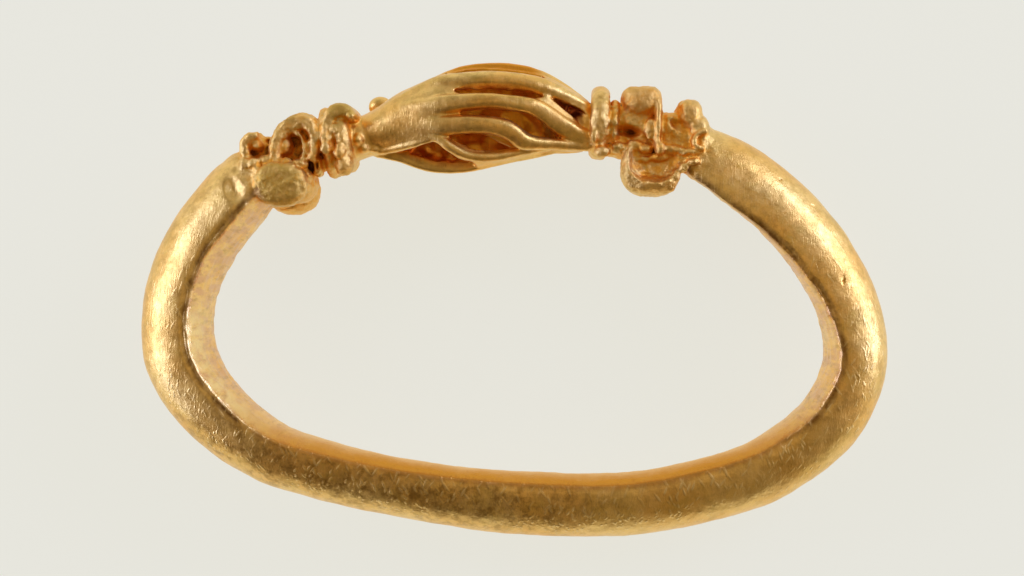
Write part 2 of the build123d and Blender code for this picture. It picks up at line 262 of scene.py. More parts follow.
# The pellets and lumps: balls of gold soldered between the scrolls, on each side of a shoulder,
# worn flat where they stood out. The bud and the ground of each scroll are among them.
LUMPS = [
    # x, y, z, half across, half up, half deep, squareness, flatness
    (-8.52, 4.27, 1.28, 0.97, 0.80, 0.56, 2.3, 4.0),
    (-8.40, 4.15, -1.10, 1.00, 0.88, 0.80, 2.2, 2.2),
    (-8.12, 4.42, 0.10, 0.78, 0.76, 1.20, 2.4, 3.0),
    (5.02, 4.92, -1.12, 0.95, 0.86, 0.76, 2.2, 2.2),
    (-8.00, 5.62, 0.00, 0.80, 0.80, 0.62, 3.0, 3.0),
    (-9.20, 5.70, 0.00, 0.55, 0.42, 0.58, 2.6, 2.6),
    (-8.42, 5.66, 0.60, 0.29, 0.34, 0.62, 2.3, 2.6),
    (-8.42, 5.66, -0.60, 0.29, 0.34, 0.62, 2.3, 2.6),
    (-7.46, 5.80, 0.00, 0.16, 0.62, 1.20, 2.3, 3.0),
    (-7.72, 6.14, 0.20, 0.26, 0.24, 0.84, 2.3, 3.0),
    (-9.44, 5.72, 0.52, 0.24, 0.22, 0.58, 2.3, 2.6),
    (-9.44, 5.72, -0.52, 0.24, 0.22, 0.58, 2.3, 2.6),
    (-7.86, 5.04, 1.05, 0.34, 0.20, 0.30, 2.0, 2.0),
    (-8.34, 5.10, 1.18, 0.22, 0.18, 0.26, 2.0, 2.0),
    (-9.10, 5.16, 1.12, 0.32, 0.22, 0.26, 2.0, 2.0),
    (-9.52, 5.02, 1.22, 0.26, 0.26, 0.26, 2.0, 2.0),
    (-9.86, 4.98, 1.10, 0.24, 0.30, 0.30, 2.0, 2.0),
    (-9.30, 4.62, 1.30, 0.26, 0.34, 0.30, 2.0, 2.0),
    (-7.20, 4.98, 0.60, 0.20, 0.40, 0.60, 2.0, 2.0),
    (-6.22, 5.00, 1.05, 0.34, 0.42, 0.40, 2.0, 2.0),
    (-6.36, 5.50, 1.38, 0.22, 0.30, 0.20, 2.0, 2.0),
    (-6.88, 5.60, 1.42, 0.18, 0.24, 0.16, 2.0, 2.0),
    (-6.56, 6.30, 1.20, 0.26, 0.22, 0.26, 2.0, 2.0),
    (-5.94, 6.76, 0.55, 0.22, 0.20, 0.94, 2.2, 2.2),
    (-5.10, 7.30, -0.78, 0.44, 0.40, 0.40, 2.0, 2.0),
    (-5.75, 5.95, 0.72, 0.26, 0.26, 0.40, 2.0, 2.0),
    (-5.55, 5.62, 0.62, 0.24, 0.20, 0.30, 2.0, 2.0),
    (-5.15, 5.60, 0.62, 0.18, 0.14, 0.18, 2.0, 2.0),
    (4.64, 7.36, 0.00, 0.74, 0.58, 1.46, 3.4, 3.2),
    (4.42, 6.55, 0.00, 0.84, 0.72, 1.14, 3.0, 3.2),
    (5.66, 6.36, 0.00, 0.48, 0.62, 1.08, 2.5, 3.0),
    (6.40, 6.84, 0.00, 0.48, 0.60, 1.26, 2.8, 3.0),
    (6.70, 6.30, 0.00, 0.46, 0.56, 1.30, 2.4, 3.0),
    (6.20, 5.28, 0.20, 0.62, 0.44, 1.10, 2.4, 2.6),
    (4.95, 6.30, 1.16, 0.22, 0.40, 0.20, 2.0, 2.0),
    (4.30, 5.70, 1.02, 0.36, 0.20, 0.22, 2.0, 2.0),
    (4.76, 5.60, 1.06, 0.26, 0.18, 0.26, 2.0, 2.0),
    (3.80, 5.62, 0.98, 0.30, 0.24, 0.26, 2.0, 2.0),
    (5.26, 5.58, 1.34, 0.20, 0.24, 0.22, 2.0, 2.0),
    (5.78, 5.56, 1.18, 0.46, 0.18, 0.24, 2.0, 2.0),
    (6.35, 5.44, 1.24, 0.42, 0.18, 0.26, 2.0, 2.0),
    (5.30, 5.28, 1.02, 0.40, 0.16, 0.22, 2.0, 2.0),
    (4.60, 5.22, 0.95, 0.50, 0.12, 0.20, 2.0, 2.0),
    (3.16, 5.50, 1.18, 0.30, 0.22, 0.24, 2.0, 2.0),
    (2.86, 6.00, 1.38, 0.14, 0.26, 0.18, 2.0, 2.0),
    (5.66, 4.26, 1.34, 0.17, 0.24, 0.20, 2.0, 2.0),
    (5.86, 4.60, 1.38, 0.17, 0.24, 0.20, 2.0, 2.0),
    (6.12, 4.90, 1.40, 0.22, 0.20, 0.22, 2.0, 2.0),
    (6.48, 5.10, 1.44, 0.28, 0.16, 0.22, 2.0, 2.0),
]


def lump(x, y, z, half_across, half_up, half_deep, squareness, flatness):
    """A ball; above two, squareness makes it a block seen from the near side, flatness a disc."""
    bm = bmesh.new()
    ball = bmesh.ops.create_icosphere(bm, subdivisions=5, radius=1)["verts"]
    for vert in ball:
        across = (abs(vert.co.x) ** squareness + abs(vert.co.y) ** squareness) ** (1 / squareness)
        vert.co /= (across ** flatness + abs(vert.co.z) ** flatness) ** (1 / flatness)
    bmesh.ops.scale(bm, verts=ball, vec=(half_across, half_up, half_deep))
    bmesh.ops.translate(bm, verts=ball, vec=(x, y, z))
    return bm


for row in LUMPS:
    put(lump(*row))

# The hollow leaf: the near pellet of the right shoulder, hammered out into a tongue with a thick
# lip below, whose right side runs on up to the hoop.
merge_distance = 1e-6


def piece_of(name, bm):
    """A scene object that holds a worked form."""
    bmesh.ops.remove_doubles(bm, verts=bm.verts, dist=merge_distance)
    bmesh.ops.recalc_face_normals(bm, faces=bm.faces)
    mesh = bpy.data.meshes.new(name)
    bm.to_mesh(mesh)
    bm.free()
    piece = bpy.data.objects.new(name, mesh)
    bpy.context.collection.objects.link(piece)
    return piece


def settled(piece):
    """The piece's mesh with its modifiers carried out, and the piece itself taken away."""
    evaluated = piece.evaluated_get(bpy.context.evaluated_depsgraph_get())
    mesh = bpy.data.meshes.new_from_object(evaluated)
    bpy.data.objects.remove(piece)
    return mesh


def cut_from(piece, cutter):
    """The mesh of a piece with the cutter's space taken out."""
    cut = piece.modifiers.new("cut", "BOOLEAN")
    cut.operation = "DIFFERENCE"
    cut.solver = "EXACT"
    cut.use_self = False
    cut.object = cutter
    mesh = settled(piece)
    bpy.data.objects.remove(cutter)
    return mesh


# x, y, z, half across, half up, half deep, squareness, flatness, as for the lumps
LEAF_BOWL = (4.93, 4.88, 0.82, 1.08, 1.02, 0.92, 2.6, 3.0)
LEAF_SCOOP = (5.06, 5.44, 1.98, 1.06, 1.14, 1.02, 2.6, 2.4)
bowl = piece_of("leaf_bowl", lump(*LEAF_BOWL))
scoop = piece_of("leaf_scoop", lump(*LEAF_SCOOP))
forms.append(cut_from(bowl, scoop))

# The clasped hands: a hollow pod of sheet gold. The near hand comes from the left, its palm and
# four fingers pierced apart and open below; the far hand comes from the right and is closed.
wall = 0.26
POD = [
    # x, top, bottom, half deep
    (-5.90, 6.74, 5.55, 0.70),
    (-5.00, 7.20, 5.42, 1.06),
    (-4.00, 7.80, 5.25, 1.42),
    (-3.00, 8.28, 4.96, 1.66),
    (-2.00, 8.56, 4.92, 1.62),
    (-1.00, 8.66, 5.05, 1.56),
    (0.60, 8.46, 5.34, 1.44),
    (1.80, 7.85, 5.50, 1.16),
    (2.80, 7.15, 5.50, 0.90),
]
FINGERS = [
    [
        # x, y, z, half wide, half high
        (-4.10, 7.35, 0.70, 0.25, 0.25),
        (-3.30, 7.75, 0.74, 0.30, 0.30),
        (-2.60, 7.98, 0.86, 0.36, 0.32),
        (-1.70, 8.06, 1.00, 0.35, 0.32),
        (-0.79, 8.09, 1.04, 0.34, 0.31),
        (0.12, 8.04, 1.00, 0.33, 0.30),
        (1.09, 7.83, 0.88, 0.35, 0.29),
        (1.75, 7.56, 0.76, 0.27, 0.26),
        (2.35, 7.26, 0.64, 0.20, 0.22),
        (2.85, 7.02, 0.54, 0.15, 0.16),
    ],
    [
        (-4.10, 7.00, 1.00, 0.28, 0.28),
        (-3.30, 7.08, 1.28, 0.33, 0.30),
        (-2.60, 7.15, 1.48, 0.36, 0.31),
        (-1.80, 7.24, 1.58, 0.32, 0.31),
        (-0.70, 7.26, 1.60, 0.27, 0.30),
        (0.45, 7.12, 1.50, 0.30, 0.29),
        (1.05, 6.86, 1.34, 0.33, 0.28),
        (1.70, 6.42, 1.12, 0.35, 0.28),
        (2.50, 6.02, 0.88, 0.32, 0.25),
        (2.95, 5.95, 0.75, 0.24, 0.20),
    ],
    [
        (-4.10, 6.50, 1.02, 0.28, 0.28),
        (-3.30, 6.45, 1.32, 0.34, 0.30),
        (-2.60, 6.40, 1.52, 0.36, 0.31),
        (-1.60, 6.42, 1.62, 0.35, 0.32),
        (-0.77, 6.38, 1.62, 0.34, 0.33),
        (-0.19, 6.20, 1.54, 0.36, 0.33),
        (0.30, 5.86, 1.42, 0.34, 0.31),
        (0.85, 5.78, 1.26, 0.24, 0.24),
        (1.40, 5.76, 1.10, 0.20, 0.20),
        (2.70, 5.68, 0.80, 0.18, 0.16),
    ],
    [
        (-3.40, 6.10, 1.30, 0.18, 0.18),
        (-2.80, 5.96, 1.44, 0.18, 0.20),
        (-2.40, 5.70, 1.46, 0.20, 0.24),
        (-1.95, 5.46, 1.42, 0.20, 0.26),
        (-1.40, 5.32, 1.34, 0.19, 0.25),
        (-0.78, 5.32, 1.24, 0.18, 0.22),
        (-0.14, 5.42, 1.10, 0.16, 0.18),
        (0.60, 5.54, 0.96, 0.13, 0.13),
        (1.30, 5.64, 0.84, 0.11, 0.11),
    ],
    [
        (-5.50, 5.50, 0.30, 0.13, 0.12),
        (-4.80, 5.56, 0.62, 0.13, 0.13),
        (-4.10, 5.68, 0.96, 0.13, 0.13),
        (-3.40, 5.84, 1.26, 0.13, 0.14),
        (-2.80, 6.02, 1.44, 0.14, 0.15),
    ],
]
RIMS = [
    [
        # x, y, z, half wide, half high
        (-3.40, 8.06, -0.30, 0.12, 0.10),
        (-2.60, 8.38, -0.40, 0.22, 0.18),
        (-1.75, 8.62, -0.45, 0.28, 0.19),
        (-0.50, 8.68, -0.50, 0.28, 0.19),
        (0.60, 8.52, -0.45, 0.26, 0.19),
        (1.60, 8.04, -0.38, 0.24, 0.18),
        (2.65, 7.30, -0.30, 0.18, 0.15),
    ],
    [
        (-5.20, 5.46, -0.10, 0.10, 0.10),
        (-4.30, 5.30, -0.10, 0.13, 0.12),
        (-3.70, 5.08, -0.10, 0.14, 0.13),
        (-3.10, 4.92, -0.10, 0.14, 0.13),
        (-2.50, 4.88, -0.10, 0.14, 0.13),
        (-1.80, 4.93, -0.05, 0.14, 0.13),
        (-1.00, 5.08, 0.00, 0.14, 0.13),
        (0.10, 5.30, 0.10, 0.13, 0.12),
        (1.20, 5.54, 0.10, 0.12, 0.12),
        (2.00, 5.70, 0.10, 0.12, 0.12),
        (2.75, 5.74, 0.10, 0.10, 0.10),
    ],
]
GAPS = [
    # each gap's outline, x and y, clockwise from its left tip; first those between the fingers
    [
        (-2.30, 7.68), (-1.40, 7.92), (-0.54, 7.96), (0.40, 7.80),
        (1.10, 7.52), (0.40, 7.36), (-0.54, 7.44), (-1.50, 7.54),
    ],
    [
        (1.24, 7.52), (1.60, 7.42), (2.05, 7.20), (2.62, 6.86),
        (2.72, 6.30), (2.45, 6.30), (2.10, 6.76), (1.60, 7.16),
    ],
    [
        (-2.05, 6.82), (-1.60, 6.98), (-0.70, 7.04), (0.10, 6.94), (0.66, 6.76), (1.14, 6.40),
        (1.54, 6.00), (1.08, 5.90), (0.40, 6.24), (-0.36, 6.66), (-1.33, 6.76),
    ],
    [
        (-2.40, 6.08), (-1.90, 6.16), (-1.27, 6.10), (-0.60, 5.85), (0.00, 5.56),
        (-0.36, 5.44), (-0.90, 5.44), (-1.44, 5.56), (-1.88, 5.74), (-2.30, 5.92),
    ],
    # under the palm
    [
        (-4.90, 5.45), (-4.10, 5.60), (-3.40, 5.76), (-2.80, 5.96), (-2.50, 5.62),
        (-2.10, 5.28), (-1.50, 5.10), (-1.70, 4.50), (-4.60, 4.50),
    ],
    # along the top, out past the crest
    [
        (-2.70, 8.24), (-2.30, 8.60), (-1.82, 8.74), (-1.10, 8.82), (-0.54, 8.84), (0.09, 8.78),
        (0.48, 8.66), (1.10, 8.20), (0.46, 8.05), (-0.54, 8.15), (-1.82, 8.10),
    ],
]
hand_middle = Vector((-1.50, 6.75, 0))
pod_course = eased(POD, course_steps)
hollow_edge = 1.1
hollow_edge_steepness = 5


def clamped(value, low=0):
    """A value kept between a low end and one."""
    return min(1, max(low, value))


def inside_hands(spot):
    """How surely a spot lies on the walls of the hollow in the hands."""
    if not POD[1][0] < spot.x < POD[-1][0]:
        return 0
    _, top, bottom, half_deep = min(pod_course, key=lambda row: abs(row[0] - spot.x))
    tall = (spot.y - (top + bottom) / 2) / ((top - bottom) / 2 - wall / 2)
    deep = spot.z / (half_deep - wall / 2)
    return clamped(hollow_edge_steepness * (hollow_edge - math.hypot(tall, deep)))


def pod(name, rows, inset):
    """The outer form of the hands, or, inset by the wall, the hollow in them."""
    swept = []
    for x, top, bottom, half_deep in eased(rows, course_steps):
        place = Vector((x, (top + bottom) / 2, 0))
        half_tall = (top - bottom) / 2 - inset
        swept.append((place, Vector((0, 1, 0)), half_tall, half_tall, half_deep - inset))
    return piece_of(name, sweep(swept, segments=64))


# The fingers lean outwards as the pod's round does. Those of the far hand come from the right: their
# tips, left of far_tip_x, are lowered a little, and their roots, right of far_root_x, are raised.
pod_half_tall = 1.8
pod_half_deep = 1.7
far_tip_x = -3
far_tip_drop = 0.2
far_root_x = 1
far_root_rise = 0.12


def bar(rows, turned):
    """A finger or rim of the near hand, or, turned about, of the far hand."""
    swept = []
    for x, y, z, half_wide, half_high in eased(rows, course_steps):
        place = Vector((x, y, z))
        if turned:
            place = Vector((2 * hand_middle.x - x, y, -z))
            place.y -= far_tip_drop * max(0, far_tip_x - place.x) * (y - POD[0][2]) / 2
            place.y += far_root_rise * max(0, place.x - far_root_x)
        rise = (place.y - hand_middle.y) / pod_half_tall ** 2
        out = Vector((0, rise, place.z / pod_half_deep ** 2)).normalized()
        swept.append((place, out, half_high, half_high, half_wide))
    return sweep(swept, segments=24, square=2.4)


# The hollow is shallow on the far side, so that light reaches its far wall.
far_depth = 0.40
hollow = pod("hands_hollow", POD[2:-1], wall)
for vert in hollow.data.vertices:
    if vert.co.z < 0:
        vert.co.z *= far_depth
shell = cut_from(pod("hands", POD, 0), hollow)
shell_piece = bpy.data.objects.new("hands_shell", shell)
bpy.context.collection.objects.link(shell_piece)
outline_steps = 3
piercing_start = 0.05
piercing_depth = 3
piercing = bmesh.new()
for outline in GAPS:
    corners = eased(outline, outline_steps, closed=True)
    face = piercing.faces.new([piercing.verts.new((x, y, piercing_start)) for x, y in corners])
    lifted = bmesh.ops.extrude_face_region(piercing, geom=[face])["geom"]
    tops = [part for part in lifted if isinstance(part, bmesh.types.BMVert)]
    bmesh.ops.translate(piercing, verts=tops, vec=(0, 0, piercing_depth))
forms.append(cut_from(shell_piece, piece_of("hands_piercing", piercing)))
for rows in FINGERS:
    put(bar(rows, False))
    put(bar(rows, True))
for rows in RIMS:
    put(bar(rows, False))

# The gold body: all forms are one casting, so they are fused, their meetings softened as solder
# and wear do, and the hammered unevenness of the wire worked into its surface.
voxel = 0.05
smoothing_rounds = 3
most_triangles = 190000
gold = bmesh.new()
for form in forms:
    gold.from_mesh(form)
casting = piece_of("ring_gold", gold)
fuse = casting.modifiers.new("fuse", "REMESH")
fuse.mode = "VOXEL"
fuse.voxel_size = voxel
fused = bmesh.new()
fused.from_mesh(settled(casting))
for _ in range(smoothing_rounds):
    bmesh.ops.smooth_vert(
        fused, verts=fused.verts, factor=0.5, use_axis_x=True, use_axis_y=True, use_axis_z=True
    )
fused.normal_update()
ORNAMENTS = [
    # x, y, reach
    (-8.0, 5.4, 2.8),
    (4.9, 5.9, 2.8),
]
DENTS = [
    # x, y, half size along, half size across, turn in degrees, depth: pits and dents of the near side
    (4.15, 6.22, 0.62, 0.26, -8, 0.60),
    (6.02, 7.12, 0.14, 0.16, 0, 0.30),
    (5.80, 6.52, 0.22, 0.30, 30, 0.20),
    (-9.08, 5.92, 0.12, 0.16, 0, 0.25),
    (-7.22, 4.98, 0.10, 0.30, 0, 0.25),
    (-6.56, 5.80, 0.10, 0.50, 8, 0.14),
    (4.75, 4.62, 0.60, 0.14, 5, 0.10),
    (-10.16, 4.06, 0.66, 0.40, -62, 0.24),
    (10.86, 3.53, 0.10, 0.07, 0, 0.08),
    (9.66, 4.45, 0.09, 0.08, 0, 0.10),
    (11.90, 0.76, 0.07, 0.16, -20, 0.10),
]
hoop_tree = KDTree(len(hoop_rows))
for i, row in enumerate(hoop_rows):
    hoop_tree.insert(row[0], i)
hoop_tree.balance()
hoop_end_rows = 12
inner_overrun = 1.5
side_overrun = 1.08
seam_place = 0.04
seam_width = 0.12
seam_side = 0.75
seam_side_fade = 0.15
seam_foot_y = -5.6
seam_foot_fade = 1.5
seam_least_at_foot = 0.3
inner_fade = 0.16


def on_hoop(spot):
    """How strongly a spot lies in the hoop's seam, and on its face towards the finger."""
    row = hoop_tree.find(spot)[1]
    if not hoop_end_rows < row < len(hoop_rows) - hoop_end_rows:
        return 0, 0
    place, out, half_out, half_in, half_side = hoop_rows[row]
    gap = spot - place
    outwards = gap.dot(out)
    sideways = abs(gap.dot(hoop_sides[row])) / half_side
    if outwards < -half_in * inner_overrun or outwards > half_out or sideways > side_overrun:
        return 0, 0
    seam = math.exp(-((outwards - seam_place) / seam_width) ** 2)
    seam *= clamped((sideways - seam_side) / seam_side_fade)
    seam *= clamped((place.y - seam_foot_y) / seam_foot_fade, seam_least_at_foot)
    return seam, clamped(0.5 - outwards / inner_fade)


def nearness(spot, places):
    """One in the middle of the nearest of some places, and nought or less past its reach."""
    return max(1 - math.hypot(spot.x - x, spot.y - y) / reach for x, y, reach in places)


ornament_edge_steepness = 2.5


def ornament_share(spot):
    """How far a spot lies within one of the shoulders' ornaments."""
    return clamped(ornament_edge_steepness * nearness(spot, ORNAMENTS))


WAVES = [
    # waves to the millimetre, their height everywhere, height added on the ornaments
    (0.9, 0.030, 0),
    (3.1, 0.010, 0.045),
    (7.3, 0, 0.032),
    (13, 0, 0.014),
]


def unevenness(spot, ornament):
    """How far the surface swells at a spot, in hammered waves and a grit on the ornaments."""
    swell = 0
    for pace, everywhere, on_ornaments in WAVES:
        swell += noise.noise(spot * pace) * (everywhere + on_ornaments * ornament)
    return swell


def dent(vert):
    """Press the pits and dents into a point of the near side."""
    for x, y, half_along, half_across, turn, depth in DENTS:
        off_x = vert.co.x - x
        off_y = vert.co.y - y
        if abs(off_x) < 1 and abs(off_y) < 1:
            cos = math.cos(math.radians(turn))
            sin = math.sin(math.radians(turn))
            along = (off_x * cos + off_y * sin) / half_along
            aside = (off_y * cos - off_x * sin) / half_across
            span = math.hypot(along, aside)
            if span < 1:
                vert.co.z -= depth * (1 - span * span) ** 2 * max(0, vert.normal.z)


# The seam comes and goes along the hoop, whose inner face is beaten less at the foot of the ring.
seam_depth = 0.075
seam_mean = 0.55
seam_change = 1.6
seam_pace = 0.7
beaten_depth = 0.036
beaten_pace = 3.0
beaten_foot_y = -6
beaten_foot_fade = 3
beaten_least_at_foot = 0.2
wall_depth = 0.09
wall_pace = 2.6
near_side_z = 0.3
for vert in fused.verts:
    seam, inner = on_hoop(vert.co)
    open_share = max(0, seam_mean + seam_change * noise.noise(vert.co * seam_pace))
    vert.co -= vert.normal * (seam_depth * seam * open_share)
    beaten = inner * noise.noise(vert.co * beaten_pace) * beaten_depth
    above_foot = clamped((vert.co.y - beaten_foot_y) / beaten_foot_fade, beaten_least_at_foot)
    vert.co += vert.normal * (beaten * above_foot)
    lumpy = inside_hands(vert.co) * noise.noise(vert.co * wall_pace) * wall_depth
    vert.co += vert.normal * lumpy
    swell = unevenness(vert.co, ornament_share(vert.co))
    if vert.co.z > near_side_z:
        dent(vert)
    vert.co += vert.normal * swell
body = piece_of("ring_gold", fused)
thin = body.modifiers.new("thin", "DECIMATE")
thin.ratio = min(1, most_triangles / (2 * len(body.data.polygons)))
worked = bmesh.new()
worked.from_mesh(settled(body))
bmesh.ops.translate(worked, verts=worked.verts, vec=ring_middle)
bmesh.ops.scale(worked, verts=worked.verts, vec=(MM, MM, MM))
for face in worked.faces:
    face.smooth = True
ring_mesh = bpy.data.meshes.new("ring_gold")
worked.to_mesh(ring_mesh)
worked.free()
ring = bpy.data.objects.new("ring_gold", ring_mesh)
bpy.context.collection.objects.link(ring)

# What each spot of the casting is, kept on the mesh for its colour: seam, face towards the finger,
# ornament, wall of the hollow hands, face worn matt, and how deep it lies between its neighbours.
DULL = [
    # x, y, reach: the near pellet's face, the great scroll's, the small scroll's, a finger's
    (-8.52, 4.27, 1.05),
    (4.62, 7.36, 0.85),
    (-6.35, 6.90, 0.55),
    (1.70, 7.00, 0.60),
]
dull_edge_steepness = 3
marks = {name: [] for name in ("seam", "inner", "ornament", "inside", "dull", "hollow")}
for vert in ring_mesh.vertices:
    spot = vert.co / MM - ring_middle
    seam, inner = on_hoop(spot)
    marks["seam"].append(seam)
    marks["inner"].append(inner)
    marks["ornament"].append(ornament_share(spot))
    marks["inside"].append(inside_hands(spot))
    marks["dull"].append(clamped(dull_edge_steepness * nearness(spot, DULL)) * clamped(spot.z))

# Feelers go out from each spot, low and high, all round. The sooner the gold stops them, the deeper
# the spot lies in a hollow.
surface = BVHTree.FromPolygons(
    [vert.co for vert in ring_mesh.vertices], [face.vertices for face in ring_mesh.polygons]
)
feeler_reach = 1.2 * MM
feeler_lift = 0.03 * MM
feeler_turns = 8
feeler_rises = (0.35, 0.85)
feelers = []
for turn in range(feeler_turns):
    angle = math.tau * turn / feeler_turns
    for rise in feeler_rises:
        feelers.append(Vector((math.cos(angle), math.sin(angle), rise)).normalized())
for vert in ring_mesh.vertices:
    turned = Vector((0, 0, 1)).rotation_difference(vert.normal)
    start = vert.co + vert.normal * feeler_lift
    blocked = 0.0
    for feeler in feelers:
        distance = surface.ray_cast(start, turned @ feeler, feeler_reach)[3]
        if distance is not None:
            blocked += 1 - distance / feeler_reach
    marks["hollow"].append(blocked / len(feelers))
for name, values in marks.items():
    ring_mesh.attributes.new(name, "FLOAT", "POINT").data.foreach_set("value", values)

# The colour of the gold: high-carat and warm, burnished by wear to a fine scratched gloss, with an
# olive brown bloom in broad patches and red-brown earth left in the hollows.
bright_gold = (1.0, 0.67, 0.23)
deep_gold = (0.96, 0.56, 0.15)
pale_gold = (1.0, 0.74, 0.32)
flame_gold = (0.90, 0.42, 0.04)
olive_bloom = (0.64, 0.43, 0.10)
brown_bloom = (0.42, 0.23, 0.05)
rose_bloom = (0.80, 0.47, 0.22)
earth = (0.16, 0.060, 0.010)
metal = bpy.data.materials.new("worn_gold")
metal.use_nodes = True
tree = metal.node_tree
shader = tree.nodes["Principled BSDF"]


def node(kind, **values):
    """A node of the gold's material with some of its values set."""
    made = tree.nodes.new(kind)
    for name, value in values.items():
        if hasattr(made, name):
            setattr(made, name, value)
        else:
            made.inputs[name.replace("_", " ")].default_value = value
    return made


def link(source, target):
    """Run an output into an input."""
    tree.links.new(source, target)


def blend(share, one, two):
    """A colour mixed from two by a share."""
    mixed = node("ShaderNodeMix", data_type="RGBA")
    link(share, mixed.inputs[0])
    for value, socket in ((one, mixed.inputs[6]), (two, mixed.inputs[7])):
        if isinstance(value, tuple):
            socket.default_value = (*value, 1)
        else:
            link(value, socket)
    return mixed.outputs[2]


def ramped(source, low, high, bottom=0.0, top=1.0):
    """A value that rises from bottom to top as the source goes from low to high."""
    ranged = node("ShaderNodeMapRange")
    ranged.interpolation_type = "SMOOTHSTEP"
    link(source, ranged.inputs["Value"])
    ranged.inputs["From Min"].default_value = low
    ranged.inputs["From Max"].default_value = high
    ranged.inputs["To Min"].default_value = bottom
    ranged.inputs["To Max"].default_value = top
    return ranged.outputs[0]


def reckon(operation, values):
    """Values put together one after another by an operation."""
    total = values[0]
    for value in values[1:]:
        step = node("ShaderNodeMath", operation=operation)
        for term, socket in ((total, step.inputs[0]), (value, step.inputs[1])):
            if isinstance(term, (int, float)):
                socket.default_value = term
            else:
                link(term, socket)
        total = step.outputs[0]
    return total


def times(*values):
    """Values multiplied together."""
    return reckon("MULTIPLY", values)


def plus(*values):
    """Values added up."""
    return reckon("ADD", values)


def rest_of(share):
    """What a share leaves of the whole."""
    return reckon("SUBTRACT", (1.0, share))


coords = node("ShaderNodeTexCoord").outputs["Object"]
places = node("ShaderNodeSeparateXYZ")
link(coords, places.inputs[0])


def towards(axis, start_mm, full_mm, bottom=0.0, top=1.0):
    """A value that rises across the ring, along an axis, from one place to another."""
    return ramped(places.outputs[axis], start_mm * MM, full_mm * MM, bottom, top)


def grain(size_mm, detail=2.0, roughness=0.5, stretch=(1, 1, 1), turn=(0, 0, 0)):
    """A noise whose grains are of a size, drawn out and turned."""
    mapped = node("ShaderNodeMapping", vector_type="TEXTURE")
    mapped.inputs["Rotation"].default_value = turn
    mapped.inputs["Scale"].default_value = stretch
    link(coords, mapped.inputs["Vector"])
    made = node("ShaderNodeTexNoise", Scale=1 / (size_mm * MM), Detail=detail, Roughness=roughness)
    link(mapped.outputs[0], made.inputs["Vector"])
    return made.outputs["Fac"]


def patched(tint, where, source, low, high, most):
    """The colour so far with patches of a tint over it, in grains of a source, where a share lets it."""
    return blend(times(ramped(source, low, high, 0, most), where), colour, tint)


shares = {}
for name in marks:
    shares[name] = node("ShaderNodeAttribute", attribute_name=name).outputs["Fac"]
outside = rest_of(shares["inside"])
back = rest_of(shares["inner"])
foot = towards("Y", -2.5, -5.5)
flank = times(back, towards("Z", 2.0, 3.2, 0.3, 1.0))
rubbed = times(foot, towards("X", 0.5, 4.5, 0, 0.65))
bloom = times(flank, rest_of(rubbed))
colour = blend(ramped(grain(2.6, 3), 0.35, 0.65), bright_gold, deep_gold)
colour = patched(olive_bloom, 1.0, grain(1.1, 4, 0.7), 0.48, 0.70, 0.45)
colour = patched(olive_bloom, bloom, grain(0.24, 4, 0.65), 0.42, 0.72, 0.40)
browner_at_foot = plus(times(foot, 0.45), 0.50)
colour = patched(brown_bloom, times(bloom, browner_at_foot), grain(0.36, 4, 0.65), 0.42, 0.66, 0.80)

# The face towards the finger is rubbed rosy in patches, with a painted highlight in pale patches near
# its edge at the left; at the foot of the ring a painted reflection makes it brightest, orange by the
# near edge and paler towards the far one.
reflection_orange = (0.72, 0.34, 0.06)
reflection_pale = (1.0, 0.74, 0.42)
reflection_tint = (0.94, 0.70, 0.42)
white = (1.0, 1.0, 1.0)
colour = patched(rose_bloom, shares["inner"], grain(0.34, 5, 0.65, (1, 1, 5)), 0.40, 0.60, 0.85)
colour = patched(brown_bloom, shares["inner"], grain(0.22, 4, 0.6, (1, 1, 5)), 0.48, 0.72, 0.45)
painted_highlight_left = times(towards("Z", 1.8, 3.2), towards("X", -8, -10), towards("Y", 0.5, -1.0), shares["inner"])
colour = patched(pale_gold, painted_highlight_left, grain(0.40, 4, 0.6, (1, 1, 3)), 0.32, 0.62, 1.0)
painted_foot_reflection = times(towards("Y", -3.0, -6.0), shares["inner"])
reflection_depth = plus(places.outputs["Z"], times(grain(0.8, 3, 0.6, (1, 1, 3)), 1.4 * MM))
colour = blend(painted_foot_reflection, colour, blend(ramped(reflection_depth, 4.0 * MM, 1.6 * MM), reflection_orange, reflection_pale))
link(blend(painted_foot_reflection, white, reflection_tint), shader.inputs["Specular Tint"])

# Faces worn matt: olive on the near pellet, rosy on the great scroll.
matt_olive = (0.60, 0.39, 0.075)
matt_rose = (0.84, 0.49, 0.13)
dull = times(shares["dull"], ramped(grain(0.30, 3, 0.6), 0.30, 0.60, 0.45, 0.85))
colour = blend(dull, colour, blend(towards("X", -1, 1), matt_olive, matt_rose))

# Between the forms the gold mirrors itself and glows orange; earth has stayed in the deepest places.
crest_shade_orange = (0.85, 0.34, 0.02)
glow = plus(ramped(grain(0.30, 3, 0.6), 0.35, 0.65, 0, 0.40), -0.08)
valley = plus(shares["hollow"], times(shares["ornament"], glow))
colour = blend(times(ramped(valley, 0.12, 0.62, 0, 0.90), outside), colour, flame_gold)
# Along the crest of the hands a band is painted orange-brown: painted shade under the top rim.
crest_shade_run = times(towards("X", -3.0, -2.0), towards("X", 1.4, 0.6))
crest_shade = times(towards("Y", 8.1, 8.3), towards("Z", 2.6, 2.2), crest_shade_run)
colour = blend(times(crest_shade, 0.9), colour, crest_shade_orange)
deep = plus(shares["hollow"], times(grain(0.45, 3, 0.6), 0.7))
colour = patched(earth, outside, deep, 0.90, 1.15, 0.85)
# Earth lies in patches in the seam's groove; this darkening is partly painted shade along the crease.
colour = blend(times(shares["seam"], ramped(grain(0.9, 3, 0.6), 0.35, 0.60, 0.15, 0.85)), colour, earth)

